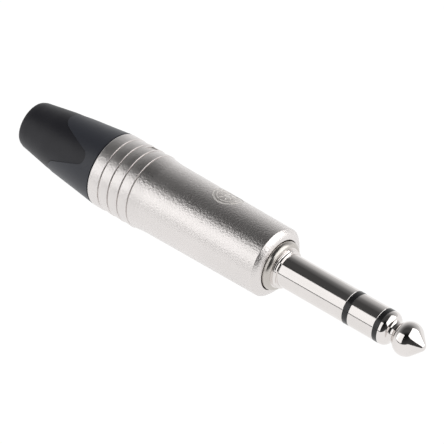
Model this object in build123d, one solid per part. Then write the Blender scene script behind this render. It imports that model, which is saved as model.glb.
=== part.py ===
from build123d import *
import os
from math import asin, atan2, cos, degrees, hypot, radians, sin, sqrt

# Stereo jack plug, 6.35 mm, lying along X with its tip towards +X.
# Stations are in mm along the axis, measured from the shoulder at the root of the finger.

# Finger, the part that enters the socket
FINGER_R = 6.35 / 2
TIP_X = 30.5
FRONT_RING_X = 21.25
FRONT_RING_LENGTH = 1.05
REAR_RING_X = 14.6
REAR_RING_LENGTH = 1.2

# Tip, an arrow head behind a waist
TIP_SHOULDER_ROUND = 0.75
TIP_WAIST_X = 24.95
TIP_WAIST_R = FINGER_R - 1.125
TIP_WAIST_ROUND = 2.0
TIP_RIM_ROUND = 0.8
TIP_POINT_ROUND = 0.55

# Rods and tubes nested inside the finger, which share its thickness
TIP_ROD_R = FINGER_R / 3
TUBE_WALL = FINGER_R / 8
NEST_GAP = 0.03

# Radii of the cable side, built outwards from the cable
CABLE_R = 3.7
CABLE_GAP = 0.15
CHUCK_WALL = 1.05
CHUCK_GAP = 0.08
SPIGOT_WALL = 0.77
THREAD_DEPTH = 0.3
THREAD_GAP = 0.08
HOUSING_WALL = 1.2
GRIP_STEP = 0.36
CHUCK_BORE_R = CABLE_R + CABLE_GAP
CHUCK_R = CHUCK_BORE_R + CHUCK_WALL
SPIGOT_ROOT_R = CHUCK_R + CHUCK_GAP + SPIGOT_WALL
THREAD_R = SPIGOT_ROOT_R + THREAD_DEPTH
GRIP_R = THREAD_R + HOUSING_WALL
BODY_R = GRIP_R - GRIP_STEP
MAIN_BORE_R = SPIGOT_ROOT_R

# Liner that keeps the solder joints off the housing
LINER_GAP = 0.1
LINER_WALL = 0.65
LINER_R = MAIN_BORE_R - LINER_GAP
LINER_BORE_R = LINER_R - LINER_WALL

# Sleeve contact behind the finger
BASE_COLLAR_R = FINGER_R + 0.475
BASE_COLLAR_LENGTH = 0.87
BASE_GROOVE_DEPTH = 0.12
NOSE_R = LINER_R - 0.9
NOSE_FACE = 0.15
NOSE_ROUND = NOSE_R - BASE_COLLAR_R - NOSE_FACE
SEAT_FLANGE_LENGTH = 1.9
SLEEVE_TAIL_R = LINER_BORE_R - 0.8
SLEEVE_TAIL_LENGTH = 1.8

# Stack of terminals behind the sleeve contact
TERMINAL_THICKNESS = 0.6
WASHER_THICKNESS = 1.0
STACK_R = LINER_BORE_R - 0.25
RIVET_R = TIP_ROD_R + 0.85
RIVET_LENGTH = 0.8
TAG_WIDTH = 2.4
TAG_GAP = 0.16
CUP_R = 1.25
CUP_WALL = 0.35
CUP_LENGTH = 4.5
SLEEVE_TAG_LENGTH = 13.0
RING_TAG_LENGTH = 11.0
TIP_TAG_LENGTH = 9.0

# Roll of the three tags that brings the plug's centre of mass straight below its axis
STACK_ROLL = -44.1

# Housing, turned in one piece
HOUSING_FRONT_X = -2.05
HOUSING_LENGTH = 39.2
FRONT_ROUND = 0.95
FRONT_CONE_DEPTH = 0.2
NOSE_GAP = 0.15
LIP_LENGTH = 2.2
RIM_CHAMFER = 0.2

# Roll of the housing's seam to the top, so that it rests on the middle of a facet of its mesh
SEAM_ROLL = 90.0

# Grip lines turned into the rear of the housing
GROOVE_COUNT = 4
GROOVE_PITCH = 2.3
GROOVE_FIRST = 2.45
GROOVE_WIDTH = 0.34
GROOVE_DEPTH = 0.22
GRIP_RUNOUT = 2.6

# Key notch in the grip, by its distance from the joint
NOTCH_BACK = 7.05
NOTCH_ROLL = -37.0
NOTCH_LENGTH = 1.6
NOTCH_WIDTH = 2.4
NOTCH_DEPTH = 0.3

# Screw joint between the housing and the bushing
THREAD_LENGTH = 8.2
THREAD_RELIEF = 0.9
JOINT_GAP = 0.15

# Boot and bushing outline, by the distance behind the joint
BOOT_LENGTH = 19.6
BOOT_FRONT_R = GRIP_R - 0.05
BOOT_THROAT = 4.4
BOOT_THROAT_DROP = 0.57
BOOT_THROAT_R = GRIP_R - BOOT_THROAT_DROP
BOOT_WAIST = 12.6
BOOT_WAIST_DROP = 1.47
BOOT_WAIST_R = GRIP_R - BOOT_WAIST_DROP
BOOT_END_WALL = 1.05
BOOT_END_R = CABLE_R + BOOT_END_WALL
BOOT_END_ROUND = 0.75
RUBBER_SINK = 0.1

# Hard core under the rubber, stepped down where the chuck's cone leaves it room
CORE_WALL = 0.47
CORE_DROP = 0.6
CORE_R = CHUCK_R + CHUCK_GAP + CORE_WALL
CORE_TAIL_R = CORE_R - CORE_DROP
CORE_STEP = 10.5
CORE_END = 15.5

# Soft petals let in between the hard tongues
PETAL_COUNT = 3
PETAL_ROLL = 48.9
PETAL_TIP = 2.2
PETAL_TIP_ROUND = 1.5
PETAL_VALLEY = 11.0
TONGUE_HALF_ANGLE = 16.1
TONGUE_END_ROUND = 3.0

# Strain relief chuck
CHUCK_FLANGE_R = MAIN_BORE_R - 0.15
CHUCK_FLANGE_LENGTH = 1.5
CHUCK_CONE = 8.4
CHUCK_END = 12.0
CHUCK_TAPER = 0.95
CHUCK_END_R = CHUCK_R - CHUCK_TAPER
CHUCK_SLOTS = 4
CHUCK_SLOT_WIDTH = 0.9
CHUCK_SLOT_LENGTH = 13.0
TOOTH_COUNT = 2
TOOTH_PITCH = 1.8
TOOTH_RAMP = 1.4
TOOTH_HEIGHT = 0.6
TOOTH_R = CHUCK_BORE_R - TOOTH_HEIGHT
TOOTH_DEPTH = 0.3

# Stations that follow from the sizes above
LIP_X = HOUSING_FRONT_X - LIP_LENGTH
JOINT_X = HOUSING_FRONT_X - HOUSING_LENGTH
BOOT_X = JOINT_X - JOINT_GAP
BOOT_END_X = BOOT_X - BOOT_LENGTH
SPIGOT_X = BOOT_X + THREAD_LENGTH
FLANGE_BACK_X = LIP_X - SEAT_FLANGE_LENGTH
SLEEVE_BACK_X = FLANGE_BACK_X - SLEEVE_TAIL_LENGTH
CHUCK_X = SPIGOT_X + CHUCK_FLANGE_LENGTH + 4 * CHUCK_GAP
CHUCK_CONE_X = BOOT_X - CHUCK_CONE
CHUCK_BACK_X = BOOT_X - CHUCK_END
CLEAR_R = BOOT_FRONT_R + 1
GROOVE_ROOT_X = JOINT_X + GROOVE_FIRST + (GROOVE_COUNT - 1) * GROOVE_PITCH

# Radii of the nested tubes
INNER_TUBE_R = TIP_ROD_R + NEST_GAP + TUBE_WALL
RING_TUBE_R = INNER_TUBE_R + NEST_GAP + TUBE_WALL
OUTER_TUBE_R = RING_TUBE_R + NEST_GAP + TUBE_WALL
SLEEVE_BORE_R = OUTER_TUBE_R + NEST_GAP

# Each terminal further back is smaller, so that the tags of those before it pass over it
RING_PLATE_R = (STACK_R + OUTER_TUBE_R) / 2
TAG_SPREAD = RING_PLATE_R + TAG_GAP + TERMINAL_THICKNESS / 2
RING_TAG_HEIGHT = RING_PLATE_R - TERMINAL_THICKNESS / 2
TIP_PLATE_R = RING_TAG_HEIGHT - TERMINAL_THICKNESS / 2 - TAG_GAP
TIP_TAG_HEIGHT = TIP_PLATE_R - TERMINAL_THICKNESS / 2


def turned(outline):
    """Solid turned about the axis from a closed outline of lines and arcs."""
    return revolve(make_face(outline), Axis.X)


def ring_of(back, front, bore, radius):
    """Plain tube between two stations."""
    corners = [(back, bore), (front, bore), (front, radius), (back, radius)]
    return turned(Polyline(*corners, close=True))


def rod_of(back, front, radius):
    """Plain rod between two stations."""
    return ring_of(back, front, 0, radius)


def arc_points(centre, radius, start, end, steps):
    """Points of a round stretch of an outline, from one angle to another in degrees."""
    angles = [radians(start + (end - start) * number / steps) for number in range(steps + 1)]
    return [(centre[0] + radius * cos(angle), centre[1] + radius * sin(angle)) for angle in angles]


def at_roll(shape, roll):
    """The shape, built on top of the axis, rolled about it to where it belongs."""
    return Rot(roll, 0, 0) * shape


# Tip contact

def tip_head_outline():
    """Arrow head, waist and shoulder, whose rounds run into each other without a corner."""
    back = FRONT_RING_X + FRONT_RING_LENGTH
    waist = (TIP_WAIST_X, TIP_WAIST_R + TIP_WAIST_ROUND)
    shoulder_r = FINGER_R - TIP_SHOULDER_ROUND
    rim_r = FINGER_R - TIP_RIM_ROUND
    shoulder_reach = sqrt((TIP_SHOULDER_ROUND + TIP_WAIST_ROUND) ** 2 - (waist[1] - shoulder_r) ** 2)
    rim_reach = sqrt((TIP_RIM_ROUND + TIP_WAIST_ROUND) ** 2 - (waist[1] - rim_r) ** 2)
    shoulder = (TIP_WAIST_X - shoulder_reach, shoulder_r)
    rim = (TIP_WAIST_X + rim_reach, rim_r)
    point = (TIP_X - TIP_POINT_ROUND, 0)
    shoulder_end = degrees(atan2(waist[1] - shoulder_r, shoulder_reach))
    rim_start = degrees(atan2(waist[1] - rim_r, rim_reach))
    reach = hypot(point[0] - rim[0], rim_r)
    cone = degrees(atan2(rim_r, point[0] - rim[0]) + asin((TIP_RIM_ROUND - TIP_POINT_ROUND) / reach))
    corners = [(back, 0), (back, FINGER_R)]
    corners += arc_points(shoulder, TIP_SHOULDER_ROUND, 90, shoulder_end, 2)
    corners += arc_points(waist, TIP_WAIST_ROUND, 180 + shoulder_end, 360 - rim_start, 4)[1:]
    corners += arc_points(rim, TIP_RIM_ROUND, 180 - rim_start, 90 - cone, 3)[1:]
    corners += arc_points(point, TIP_POINT_ROUND, 90 - cone, 0, 2)
    return Polyline(*corners, close=True)


def make_tip_contact():
    """Arrow head in one piece with the long rod, riveted over behind the last terminal."""
    plate_back = tip_plate_back()
    rivet_back = plate_back - RIVET_LENGTH
    rivet = Polyline(
        (rivet_back, 0),
        (plate_back, 0),
        (plate_back, RIVET_R),
        (rivet_back + RIVET_LENGTH / 2, RIVET_R),
        (rivet_back, RIVET_R - RIVET_LENGTH / 2),
        close=True,
    )
    rod = rod_of(rivet_back + RIVET_LENGTH / 2, FRONT_RING_X + FRONT_RING_LENGTH, TIP_ROD_R)
    return turned(tip_head_outline()) + rod + turned(rivet)


# Stations of the terminal stack, from the sleeve contact backwards

def sleeve_plate_back():
    return SLEEVE_BACK_X - TERMINAL_THICKNESS


def ring_plate_back():
    return sleeve_plate_back() - WASHER_THICKNESS - TERMINAL_THICKNESS


def tip_plate_back():
    return ring_plate_back() - WASHER_THICKNESS - TERMINAL_THICKNESS


# Ring contact and the insulation inside the finger

def make_front_insulating_ring():
    """Black ring between the tip and the ring contact."""
    bore = INNER_TUBE_R + NEST_GAP
    return ring_of(FRONT_RING_X, FRONT_RING_X + FRONT_RING_LENGTH, bore, FINGER_R)


def make_rear_insulating_ring():
    """Black ring between the ring contact and the sleeve."""
    bore = OUTER_TUBE_R + NEST_GAP
    return ring_of(REAR_RING_X, REAR_RING_X + REAR_RING_LENGTH, bore, FINGER_R)


def make_ring_contact():
    """Ring band in one piece with the tube that runs back to its terminal."""
    band_back = REAR_RING_X + REAR_RING_LENGTH
    bore = INNER_TUBE_R + NEST_GAP
    tail = ring_plate_back()
    corners = [
        (tail, bore),
        (FRONT_RING_X, bore),
        (FRONT_RING_X, FINGER_R),
        (band_back, FINGER_R),
        (band_back, RING_TUBE_R),
        (tail, RING_TUBE_R),
    ]
    return turned(Polyline(*corners, close=True))


def make_inner_insulating_tube():
    """Tube that keeps the tip's rod off the ring contact."""
    front = FRONT_RING_X + FRONT_RING_LENGTH
    return ring_of(ring_plate_back() - WASHER_THICKNESS, front, TIP_ROD_R + NEST_GAP, INNER_TUBE_R)


def make_outer_insulating_tube():
    """Tube that keeps the ring contact off the sleeve."""
    front = REAR_RING_X + REAR_RING_LENGTH
    back = sleeve_plate_back() - WASHER_THICKNESS
    return ring_of(back, front, RING_TUBE_R + NEST_GAP, OUTER_TUBE_R)


# Sleeve contact

def sleeve_outline():
    """Finger tube, base collar with its fine line, rounded nose, seat flange and tail."""
    collar_back = -BASE_COLLAR_LENGTH
    line_x = collar_back / 2
    corners = [
        (collar_back, BASE_COLLAR_R),
        (line_x - BASE_GROOVE_DEPTH, BASE_COLLAR_R),
        (line_x, BASE_COLLAR_R - BASE_GROOVE_DEPTH),
        (line_x + BASE_GROOVE_DEPTH, BASE_COLLAR_R),
        (0, BASE_COLLAR_R),
        (0, FINGER_R),
        (REAR_RING_X, FINGER_R),
        (REAR_RING_X, SLEEVE_BORE_R),
        (SLEEVE_BACK_X, SLEEVE_BORE_R),
        (SLEEVE_BACK_X, SLEEVE_TAIL_R),
        (FLANGE_BACK_X, SLEEVE_TAIL_R),
        (FLANGE_BACK_X, LINER_R),
        (LIP_X, LINER_R),
        (LIP_X, NOSE_R),
    ]
    round_centre = (collar_back - NOSE_ROUND, NOSE_R - NOSE_ROUND)
    corners += arc_points(round_centre, NOSE_ROUND, 90, 0, 3)
    return Polyline(*corners, close=True)


def make_sleeve_contact():
    """Finger tube in one piece with the nose and the flange that seats behind the lip."""
    return turned(sleeve_outline())


# Terminals and washers

def solder_cup(front, length, height):
    """Strip that runs back from a plate and ends in a half round solder cup."""
    strip_length = length - CUP_LENGTH
    strip = Pos(front - strip_length / 2, 0, height) * Box(strip_length, TAG_WIDTH, TERMINAL_THICKNESS)
    cup_x = front - strip_length - CUP_LENGTH / 2
    lift = height - TERMINAL_THICKNESS / 2 + CUP_R
    outer = Pos(cup_x, 0, lift) * Rot(0, 90, 0) * Cylinder(CUP_R, CUP_LENGTH)
    hollow = Pos(cup_x, 0, lift) * Rot(0, 90, 0) * Cylinder(CUP_R - CUP_WALL, CUP_LENGTH)
    above = Pos(cup_x, 0, lift + CUP_R) * Box(CUP_LENGTH, 2 * CUP_R, 2 * CUP_R)
    return strip + (outer - hollow - above)


def terminal(back, bore, radius, tag_length, height, roll):
    """Flat plate round the stack with its solder cup bent straight back."""
    plate = ring_of(back, back + TERMINAL_THICKNESS, bore, radius)
    tag = solder_cup(back + TERMINAL_THICKNESS / 2, tag_length, height)
    return at_roll(plate + tag, roll + STACK_ROLL)


def make_sleeve_terminal():
    """Earth terminal, the longest tag, on the lower side."""
    return terminal(sleeve_plate_back(), SLEEVE_BORE_R, STACK_R, SLEEVE_TAG_LENGTH, -TAG_SPREAD, 0)


def make_ring_terminal():
    """Terminal of the ring contact, on the upper side."""
    bore = RING_TUBE_R + NEST_GAP
    return terminal(ring_plate_back(), bore, RING_PLATE_R, RING_TAG_LENGTH, -RING_TAG_HEIGHT, 180)


def make_tip_terminal():
    """Terminal of the tip, under the riveted end of the rod."""
    bore = TIP_ROD_R + NEST_GAP
    return terminal(tip_plate_back(), bore, TIP_PLATE_R, TIP_TAG_LENGTH, -TIP_TAG_HEIGHT, 90)


def make_front_insulating_washer():
    """Washer between the earth terminal and the ring terminal."""
    back = sleeve_plate_back() - WASHER_THICKNESS
    return ring_of(back, sleeve_plate_back(), OUTER_TUBE_R + NEST_GAP, RING_PLATE_R)


def make_rear_insulating_washer():
    """Washer between the ring terminal and the tip terminal."""
    back = ring_plate_back() - WASHER_THICKNESS
    return ring_of(back, ring_plate_back(), INNER_TUBE_R + NEST_GAP, TIP_PLATE_R)


# Liner

def make_insulating_liner():
    """Plastic tube between the seat flange and the chuck, with the chuck bearing on it."""
    return ring_of(CHUCK_X + CHUCK_GAP, FLANGE_BACK_X, LINER_BORE_R, LINER_R)


# Housing

def housing_outline():
    """Outer form with the grip lines, rounded front, lip, main bore and thread bore."""
    thread_bore = THREAD_R + THREAD_GAP
    thread_end = SPIGOT_X + CHUCK_GAP
    front_edge_x = HOUSING_FRONT_X - FRONT_CONE_DEPTH
    corners = [(JOINT_X, GRIP_R - RIM_CHAMFER), (JOINT_X + RIM_CHAMFER, GRIP_R)]
    for number in range(GROOVE_COUNT):
        middle = JOINT_X + GROOVE_FIRST + number * GROOVE_PITCH
        corners.append((middle - GROOVE_WIDTH / 2, GRIP_R))
        corners.append((middle, GRIP_R - GROOVE_DEPTH))
        corners.append((middle + GROOVE_WIDTH / 2, GRIP_R))
    corners.append((GROOVE_ROOT_X + GRIP_RUNOUT, BODY_R))
    round_centre = (front_edge_x - FRONT_ROUND, BODY_R - FRONT_ROUND)
    corners += arc_points(round_centre, FRONT_ROUND, 90, 0, 3)
    corners += [
        (HOUSING_FRONT_X, NOSE_R + NOSE_GAP),
        (LIP_X, NOSE_R + NOSE_GAP),
        (LIP_X, MAIN_BORE_R),
        (thread_end, MAIN_BORE_R),
        (thread_end, thread_bore),
        (JOINT_X, thread_bore),
    ]
    return Polyline(*corners, close=True)


def make_housing():
    """One-piece barrel, turned with its seam on top, and the key notch let into its grip."""
    notch = Box(NOTCH_LENGTH, NOTCH_WIDTH, GRIP_R, align=(Align.CENTER, Align.CENTER, Align.MIN))
    notch = Pos(JOINT_X + NOTCH_BACK, 0, GRIP_R - NOTCH_DEPTH) * notch
    return at_roll(turned(housing_outline()), SEAM_ROLL) - at_roll(notch, NOTCH_ROLL)


# Boot and bushing

def boot_form(sink):
    """Whole outer form of the boot and the bushing, sunk a little where it is soft."""
    round_centre = (BOOT_END_X + BOOT_END_ROUND, BOOT_END_R - sink - BOOT_END_ROUND)
    corners = [
        (BOOT_X, CABLE_R),
        (BOOT_X, BOOT_FRONT_R - sink),
        (BOOT_X - BOOT_THROAT, BOOT_THROAT_R - sink),
        (BOOT_X - BOOT_WAIST, BOOT_WAIST_R - sink),
    ]
    corners += arc_points(round_centre, BOOT_END_ROUND, 90, 180, 2)
    corners.append((BOOT_END_X, CABLE_R))
    return turned(Polyline(*corners, close=True))


def core_form():
    """Hard tube under the rubber, stepped down where the chuck's cone leaves it room."""
    front = ring_of(BOOT_X - CORE_STEP, BOOT_X, CABLE_R, CORE_R)
    return front + ring_of(BOOT_X - CORE_END, BOOT_X - CORE_STEP, CABLE_R, CORE_TAIL_R)


def petal_prism():
    """Space of one soft petal, standing up from the axis, with a round end towards the housing."""
    valley_x = BOOT_X - PETAL_VALLEY
    half_angle = radians(180 / PETAL_COUNT - TONGUE_HALF_ANGLE)
    half_width = BOOT_WAIST_R * sin(half_angle)
    valley = Line((valley_x, -half_width), (valley_x, half_width))
    tip = CenterArc((BOOT_X - PETAL_TIP - PETAL_TIP_ROUND, 0), PETAL_TIP_ROUND, -90, 180)
    return extrude(make_hull([valley.edge(), tip.edge()]), CLEAR_R)


def petal_spaces():
    """All the soft petals' spaces."""
    step = 360 / PETAL_COUNT
    return Compound([at_roll(petal_prism(), PETAL_ROLL + step * number) for number in range(PETAL_COUNT)])


def tongue_prism():
    """Space of one hard tongue, standing up from the axis, with a round end towards the cable."""
    centre_x = BOOT_X - PETAL_VALLEY + TONGUE_END_ROUND
    root_x = centre_x + TONGUE_END_ROUND
    root = Line((root_x, -BOOT_WAIST_R), (root_x, BOOT_WAIST_R))
    end = CenterArc((centre_x, 0), TONGUE_END_ROUND, 90, 180)
    return extrude(make_hull([root.edge(), end.edge()]), CLEAR_R)


def tongue_ends():
    """Everything round and behind the tongues' ends, where the boot is soft all round."""
    step = 360 / PETAL_COUNT
    root_x = BOOT_X - PETAL_VALLEY + 2 * TONGUE_END_ROUND
    prisms = [at_roll(tongue_prism(), PETAL_ROLL + step * (number + 0.5)) for number in range(PETAL_COUNT)]
    return ring_of(BOOT_END_X - 1, root_x, CABLE_R / 2, CLEAR_R) - Compound(prisms)


def chuck_way():
    """Bore and cone inside the bushing in which the chuck sits."""
    bore = CHUCK_R + CHUCK_GAP
    end_bore = CHUCK_END_R + CHUCK_GAP
    slope = (bore - end_bore) / (CHUCK_CONE_X - CHUCK_BACK_X)
    cable_x = CHUCK_BACK_X - (end_bore - CABLE_R) / slope
    corners = [
        (cable_x, 0),
        (cable_x, CABLE_R),
        (CHUCK_CONE_X, bore),
        (SPIGOT_X + 1, bore),
        (SPIGOT_X + 1, 0),
    ]
    return turned(Polyline(*corners, close=True))


def spigot_form():
    """Screw spigot at the crest of its thread, with a relief at the flange and a lead chamfer."""
    relief_x = BOOT_X + THREAD_RELIEF
    corners = [
        (BOOT_X - JOINT_GAP, CABLE_R),
        (SPIGOT_X, CABLE_R),
        (SPIGOT_X, SPIGOT_ROOT_R),
        (SPIGOT_X - THREAD_DEPTH, THREAD_R),
        (relief_x + THREAD_DEPTH, THREAD_R),
        (relief_x, SPIGOT_ROOT_R),
        (BOOT_X - JOINT_GAP, SPIGOT_ROOT_R),
    ]
    return turned(Polyline(*corners, close=True))


def make_bushing():
    """Hard piece: screw spigot, flange ring, three tongues and the core under the rubber."""
    tongues = boot_form(0) - petal_spaces() - tongue_ends()
    return tongues + core_form() + spigot_form() - chuck_way()


def make_boot(bushing):
    """Soft piece moulded over the bushing: three petals and the tail."""
    return boot_form(RUBBER_SINK) - core_form() - bushing - chuck_way()


# Chuck

def chuck_outline():
    """Flange, barrel and cone outside, bore and gripping teeth inside."""
    outside = [
        (CHUCK_X, CHUCK_BORE_R),
        (CHUCK_X, CHUCK_FLANGE_R),
        (CHUCK_X - CHUCK_FLANGE_LENGTH, CHUCK_FLANGE_R),
        (CHUCK_X - CHUCK_FLANGE_LENGTH, CHUCK_R),
        (CHUCK_CONE_X, CHUCK_R),
        (CHUCK_BACK_X, CHUCK_END_R),
        (CHUCK_BACK_X, TOOTH_R),
    ]
    teeth = []
    for number in range(TOOTH_COUNT):
        crest = CHUCK_BACK_X + number * TOOTH_PITCH
        root = crest + TOOTH_RAMP
        teeth.append((root, TOOTH_R + TOOTH_DEPTH))
        teeth.append((crest + TOOTH_PITCH, TOOTH_R))
    last = teeth[-1]
    teeth.append((last[0] + TOOTH_PITCH, CHUCK_BORE_R))
    return Polyline(*outside, *teeth, close=True)


def make_chuck():
    """Split collet that the bushing's cone closes on the cable."""
    chuck = turned(chuck_outline())
    corner = (Align.MIN, Align.CENTER, Align.MIN)
    slot = Box(CHUCK_SLOT_LENGTH, CHUCK_SLOT_WIDTH, CHUCK_FLANGE_R, align=corner)
    slot = Pos(CHUCK_BACK_X - 1, 0, 0) * slot
    for number in range(CHUCK_SLOTS):
        chuck -= at_roll(slot, 360 / CHUCK_SLOTS * number)
    return chuck


def main():
    os.makedirs("parts", exist_ok=True)
    bushing = make_bushing()
    nodes = {
        "tip_contact": make_tip_contact(),
        "front_insulating_ring": make_front_insulating_ring(),
        "ring_contact": make_ring_contact(),
        "rear_insulating_ring": make_rear_insulating_ring(),
        "inner_insulating_tube": make_inner_insulating_tube(),
        "outer_insulating_tube": make_outer_insulating_tube(),
        "sleeve_contact": make_sleeve_contact(),
        "sleeve_terminal": make_sleeve_terminal(),
        "front_insulating_washer": make_front_insulating_washer(),
        "ring_terminal": make_ring_terminal(),
        "rear_insulating_washer": make_rear_insulating_washer(),
        "tip_terminal": make_tip_terminal(),
        "insulating_liner": make_insulating_liner(),
        "housing": make_housing(),
        "chuck": make_chuck(),
        "bushing": bushing,
        "boot": make_boot(bushing),
    }
    for name, shape in nodes.items():
        shape.label = name
        export_step(shape, f"parts/{name}.step")
        print(name, "volume", round(shape.volume, 1), "mm3")


main()
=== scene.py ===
# %% [markdown]
# A 6.35 mm stereo jack plug lies on a white table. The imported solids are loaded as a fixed
# frame in metres, and their box is noted, because the finished pieces have to stay inside it.
# Sizes below are written in millimetres, as on a drawing, and turned into metres by MM.

import bpy
from math import asin, atan2, cos, degrees, hypot, pi, radians, sin, sqrt
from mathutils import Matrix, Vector


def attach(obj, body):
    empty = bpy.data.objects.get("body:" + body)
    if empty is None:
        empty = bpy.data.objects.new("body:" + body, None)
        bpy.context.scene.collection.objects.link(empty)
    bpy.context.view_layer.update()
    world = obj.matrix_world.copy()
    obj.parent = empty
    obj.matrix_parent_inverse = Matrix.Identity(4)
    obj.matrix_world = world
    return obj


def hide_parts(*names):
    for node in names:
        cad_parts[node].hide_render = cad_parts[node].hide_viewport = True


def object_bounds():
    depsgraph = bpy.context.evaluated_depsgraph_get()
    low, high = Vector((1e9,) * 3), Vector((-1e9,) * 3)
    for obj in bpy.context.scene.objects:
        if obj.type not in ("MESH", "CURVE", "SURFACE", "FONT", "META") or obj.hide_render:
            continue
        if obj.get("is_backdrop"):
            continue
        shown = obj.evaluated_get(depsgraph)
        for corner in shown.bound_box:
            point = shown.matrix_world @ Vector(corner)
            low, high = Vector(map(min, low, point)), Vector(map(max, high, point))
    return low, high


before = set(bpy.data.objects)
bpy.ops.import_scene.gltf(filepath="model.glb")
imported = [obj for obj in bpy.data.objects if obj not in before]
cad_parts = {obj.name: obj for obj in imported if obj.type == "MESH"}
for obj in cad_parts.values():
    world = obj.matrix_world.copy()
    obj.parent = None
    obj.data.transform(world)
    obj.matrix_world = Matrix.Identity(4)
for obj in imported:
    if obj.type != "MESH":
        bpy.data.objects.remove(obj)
MM = 0.001
SOLID_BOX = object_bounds()
for corner in SOLID_BOX:
    print("corner of the solids' box", [round(v / MM, 2) for v in corner])

# %% [markdown]
# The camera comes first, because everything else is judged through it. A long lens looks down
# on the plug from its front right, so that the finger points to the lower right of the picture.

# %% Camera
CAMERA_PLACE = Vector((283.03, -343.60, 402.52)) * MM
CAMERA_AIM = Vector((-0.49242, 0.567, -0.66033))
LENS = 277.9
FILM_WIDTH = 36
NEAREST, FURTHEST = 0.01, 20

camera_data = bpy.data.cameras.new("studio_camera")
camera_data.lens = LENS
camera_data.sensor_width = FILM_WIDTH
camera_data.clip_start = NEAREST
camera_data.clip_end = FURTHEST
camera = bpy.data.objects.new("studio_camera", camera_data)
camera.location = CAMERA_PLACE
camera.rotation_mode = "QUATERNION"
camera.rotation_quaternion = CAMERA_AIM.to_track_quat("-Z", "Y")
bpy.context.scene.collection.objects.link(camera)
bpy.context.scene.camera = camera
bpy.context.scene.view_settings.view_transform = "Standard"
print("camera looks down", round(degrees(asin(-CAMERA_AIM.z)), 1), "degrees")

# %% [markdown]
# A turned metal part is a profile swept round an axis. The profile is drawn from a single
# vertex, extruded from point to point, and the spin tool then turns it into a closed body.
# A lathe would follow the same line, so rounds and grooves come out as they do in metal.

# %% Helpers for turned pieces
TURNED_STEPS = 160
SMOOTH_ANGLE = 32
MERGE = 0.002


def pick_only(*pieces):
    """Only these pieces selected, the first of them active, as the next tool expects."""
    bpy.ops.object.select_all(action="DESELECT")
    for piece in pieces:
        piece.select_set(True)
    bpy.context.view_layer.objects.active = pieces[0] if pieces else None


def round_stretch(centre, radius, start, end, steps):
    """Points of a round stretch of a profile, from one angle to another in degrees."""
    angles = [radians(start + (end - start) * number / steps) for number in range(steps + 1)]
    return [(centre[0] + radius * cos(a), centre[1] + radius * sin(a)) for a in angles]


def closed(profile):
    """The profile with its first point repeated at the end."""
    return profile + [profile[0]]


def drawn_line(name, points):
    """New object in edit mode with a line drawn from point to point, given in mm."""
    pick_only()
    bpy.ops.mesh.primitive_plane_add(size=MM, location=(0, 0, 0))
    piece = bpy.context.object
    piece.name = name
    piece.data.name = name
    bpy.ops.object.mode_set(mode="EDIT")
    bpy.ops.mesh.merge(type="CENTER")
    bpy.ops.transform.translate(value=Vector(points[0]) * MM)
    for point, following in zip(points, points[1:]):
        way = (Vector(following) - Vector(point)) * MM
        bpy.ops.mesh.extrude_region_move(TRANSFORM_OT_translate={"value": way})
    bpy.ops.mesh.select_all(action="SELECT")
    return piece


def turned_piece(name, profile, steps=TURNED_STEPS):
    """Closed body turned about the plug's axis from a profile of (station, radius) in mm."""
    piece = drawn_line(name, [(x, 0, r) for x, r in profile])
    bpy.ops.mesh.spin(steps=steps, angle=2 * pi, center=(0, 0, 0), axis=(1, 0, 0))
    bpy.ops.mesh.select_all(action="SELECT")
    bpy.ops.mesh.remove_doubles(threshold=MERGE * MM)
    bpy.ops.mesh.normals_make_consistent(inside=False)
    bpy.ops.object.mode_set(mode="OBJECT")
    bpy.ops.object.shade_smooth_by_angle(angle=radians(SMOOTH_ANGLE))
    print(name, "has", len(piece.data.polygons), "faces")
    return piece


# %% [markdown]
# The tip is one turned piece: the arrow head that the socket's spring clicks behind, a waist,
# and a long thin rod that runs back through the plug and is riveted over the last terminal.
# Its rounds run into each other without a corner, so the profile is built from tangent arcs.
# Stations are counted from the root of the finger, positive towards the tip.

# %% Tip contact
FINGER_R = 6.35 / 2
CONTACT_EDGE = 0.04
ROD_R = FINGER_R / 3
RIVET_X = -13.55
RIVET_SEAT_X = -12.75
RIVET_R = ROD_R + 0.85
RIVET_BEVEL = 0.4
TIP_BACK_X = 22.3
SHOULDER_X = 22.42
SHOULDER_ROUND = 1.4
WAIST_R = 1.9
WAIST_ROUND = 0.7
RIM_ROUND = 2.3
POINT_ROUND = 1.04
POINT_X = 30.498


def tip_head():
    """Shoulder, waist, rim and point, each round tangent to the next."""
    shoulder_r = FINGER_R - SHOULDER_ROUND
    waist_r = WAIST_R + WAIST_ROUND
    rim_r = FINGER_R - RIM_ROUND
    shoulder_reach = sqrt((SHOULDER_ROUND + WAIST_ROUND) ** 2 - (waist_r - shoulder_r) ** 2)
    rim_reach = sqrt((RIM_ROUND + WAIST_ROUND) ** 2 - (waist_r - rim_r) ** 2)
    shoulder = (SHOULDER_X, shoulder_r)
    waist = (SHOULDER_X + shoulder_reach, waist_r)
    rim = (waist[0] + rim_reach, rim_r)
    point = (POINT_X - POINT_ROUND, 0)
    shoulder_end = degrees(atan2(waist_r - shoulder_r, shoulder_reach))
    rim_start = degrees(atan2(waist_r - rim_r, rim_reach))
    cone_run = point[0] - rim[0]
    cone = atan2(rim_r, cone_run) + asin((RIM_ROUND - POINT_ROUND) / hypot(cone_run, rim_r))
    cone_end = 90 - degrees(cone)
    print("tip's cone", round(degrees(cone), 1), "degrees, waist at", round(waist[0], 2),
          "and rim at", round(rim[0], 2))
    head = round_stretch(shoulder, SHOULDER_ROUND, 90, shoulder_end, 16)
    head += round_stretch(waist, WAIST_ROUND, 180 + shoulder_end, 360 - rim_start, 20)[1:]
    head += round_stretch(rim, RIM_ROUND, 180 - rim_start, cone_end, 28)[1:]
    head += round_stretch(point, POINT_ROUND, cone_end, 0, 14)
    return head


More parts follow.
